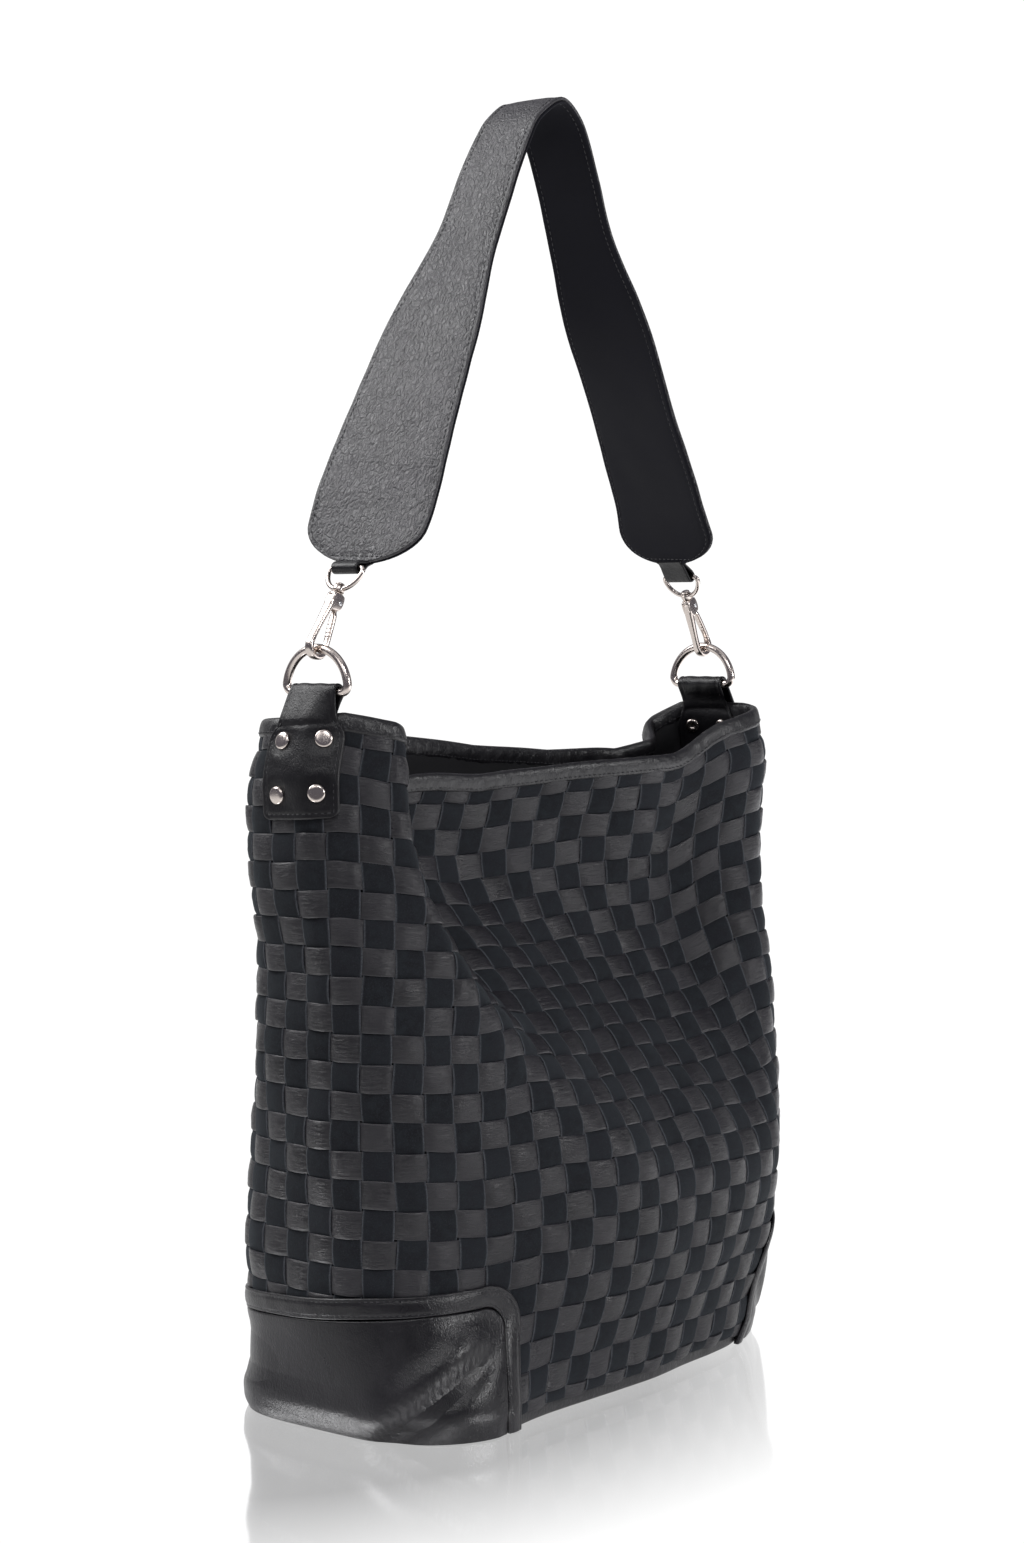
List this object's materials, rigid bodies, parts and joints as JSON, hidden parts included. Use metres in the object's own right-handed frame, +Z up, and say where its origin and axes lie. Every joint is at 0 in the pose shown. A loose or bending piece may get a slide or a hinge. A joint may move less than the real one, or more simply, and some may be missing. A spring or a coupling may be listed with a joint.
{
  "type": "woven shoulder bag",
  "caption": "Tall soft shoulder bag of interlaced leather strips with leather base, corner panels, bound rim and a wide strap clipped to a D-ring at each end.",
  "frame": {"origin": "centre of the flat underside of the base", "axes": "+X along the bag's length towards the right end, -Y out of its front, +Z up along the strap"},
  "size_m": [0.3833, 0.1768, 0.7046],
  "materials": {
    "woven_leather": "glossy strips across matt suede strips",
    "smooth_leather": "smooth, satin to glossy",
    "matt_leather": "matt",
    "lining_cloth": "plain dark cloth",
    "stiff_board": "fibre board",
    "nickel": "polished nickel plate",
    "steel": "plain steel"
  },
  "bodies": {
    "root": {"base_panel": "smooth_leather", "base_board": "stiff_board", "base_roll": "smooth_leather", "left_woven_wall": "woven_leather", "front_woven_wall": "woven_leather", "right_woven_wall": "woven_leather", "back_woven_wall": "woven_leather", "lining_walls": "lining_cloth", "lining_base": "lining_cloth", "rim_binding": "smooth_leather", "left_corner_panel": "smooth_leather", "left_corner_trim": "smooth_leather", "left_tab": "smooth_leather", "left_rivet_1": "nickel", "left_rivet_2": "nickel", "left_rivet_3": "nickel", "left_rivet_4": "nickel", "right_corner_panel": "smooth_leather", "right_corner_trim": "smooth_leather", "right_tab": "smooth_leather", "right_rivet_1": "nickel", "right_rivet_2": "nickel", "right_rivet_3": "nickel", "right_rivet_4": "nickel"},
    "strap": {"strap_outer": "smooth_leather", "strap_lining": "matt_leather", "left_strap_loop": "smooth_leather", "left_swivel_eye": "nickel", "right_strap_loop": "smooth_leather", "right_swivel_eye": "nickel"},
    "left_ring": {"left_d_ring": "nickel"},
    "left_hook": {"left_hook_body": "nickel", "left_gate_pin": "steel", "left_gate_spring": "steel"},
    "left_gate": {"left_hook_gate": "nickel"},
    "right_ring": {"right_d_ring": "nickel"},
    "right_hook": {"right_hook_body": "nickel", "right_gate_pin": "steel", "right_gate_spring": "steel"},
    "right_gate": {"right_hook_gate": "nickel"}
  },
  "joints": [
    {"name": "strap_swing", "type": "hinge", "parent": "root", "child": "strap", "pos_m": [0, 0, 0.382], "axis": [1, 0, 0], "range_deg": [-55, 55]},
    {"name": "left_ring_tilt", "type": "hinge", "parent": "root", "child": "left_ring", "pos_m": [-0.169, 0, 0.381], "axis": [0, 1, 0], "range_deg": [-1.6, 1.6]},
    {"name": "left_hook_swivel", "type": "hinge", "parent": "strap", "child": "left_hook", "pos_m": [-0.169, 0, 0.40445], "axis": [0.4924, 0, 0.8704], "range_deg": [-7, 7]},
    {"name": "left_gate_open", "type": "hinge", "parent": "left_hook", "child": "left_gate", "pos_m": [-0.1544, 0, 0.4264], "axis": [0, 1, 0], "range_deg": [0, 13], "stiffness_Nm_per_rad": 0.05, "springref_deg": -5.73},
    {"name": "right_ring_tilt", "type": "hinge", "parent": "root", "child": "right_ring", "pos_m": [0.169, 0, 0.381], "axis": [0, 1, 0], "range_deg": [-1.6, 1.6]},
    {"name": "right_hook_swivel", "type": "hinge", "parent": "strap", "child": "right_hook", "pos_m": [0.169, 0, 0.40445], "axis": [-0.4924, 0, 0.8704], "range_deg": [-7, 7]},
    {"name": "right_gate_open", "type": "hinge", "parent": "right_hook", "child": "right_gate", "pos_m": [0.1577, 0, 0.42828], "axis": [0, 1, 0], "range_deg": [0, 13], "stiffness_Nm_per_rad": 0.05, "springref_deg": -5.73}
  ]
}
